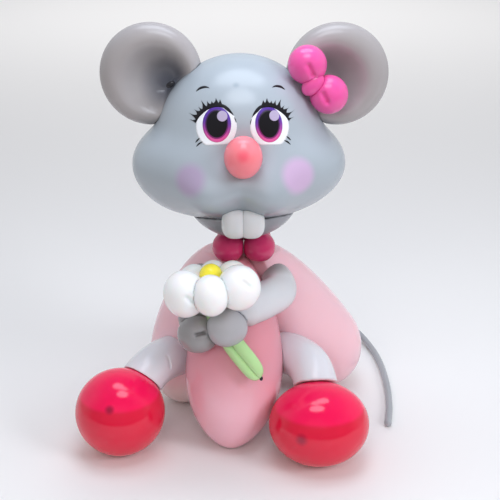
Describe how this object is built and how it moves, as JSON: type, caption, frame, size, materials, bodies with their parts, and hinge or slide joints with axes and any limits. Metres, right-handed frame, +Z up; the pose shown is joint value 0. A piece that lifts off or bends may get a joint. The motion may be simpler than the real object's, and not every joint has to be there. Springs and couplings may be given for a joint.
{
  "type": "balloon mouse",
  "caption": "Sitting mouse figure twisted from latex balloons, with a bow on one ear and a flower held in both hands.",
  "frame": {"origin": "middle of the underside of the bounding box, on the surface that the mouse sits on", "axes": "+Z up; the face looks along -Y; +X is the right as seen from the front"},
  "size_m": [0.494, 0.4942, 0.6149],
  "materials": {
    "grey_blue": "glossy latex",
    "grey": "glossy latex",
    "grey_light": "glossy latex",
    "grey_dark": "glossy latex",
    "pink_pale": "glossy latex",
    "pink_hot": "glossy latex",
    "red_pink": "glossy latex",
    "coral": "glossy latex",
    "crimson": "glossy latex",
    "white": "glossy latex",
    "yellow": "glossy latex",
    "green": "glossy latex"
  },
  "bodies": {
    "root": {"head": "grey_blue", "jaw": "grey", "ear_left": "grey", "ear_right": "grey", "arm_left": "grey", "arm_right": "grey", "hand_right": "grey", "tail": "grey", "hand_left": "grey_dark", "leg_left": "grey_light", "leg_right": "grey_light", "nose": "coral", "teeth": "white", "petal_1": "white", "petal_2": "white", "petal_3": "white", "petal_4": "white", "petal_5": "white", "petal_6": "white", "bow_upper": "pink_hot", "bow_lower": "pink_hot", "bow_middle": "pink_hot", "collar_front_left": "crimson", "collar_front_right": "crimson", "collar_back_right": "crimson", "collar_back_left": "crimson", "body_front": "pink_pale", "body_right": "pink_pale", "body_left": "pink_pale", "body_back": "pink_pale", "foot_left": "red_pink", "foot_right": "red_pink", "flower_centre": "yellow", "flower_stem": "green"}
  },
  "joints": []
}
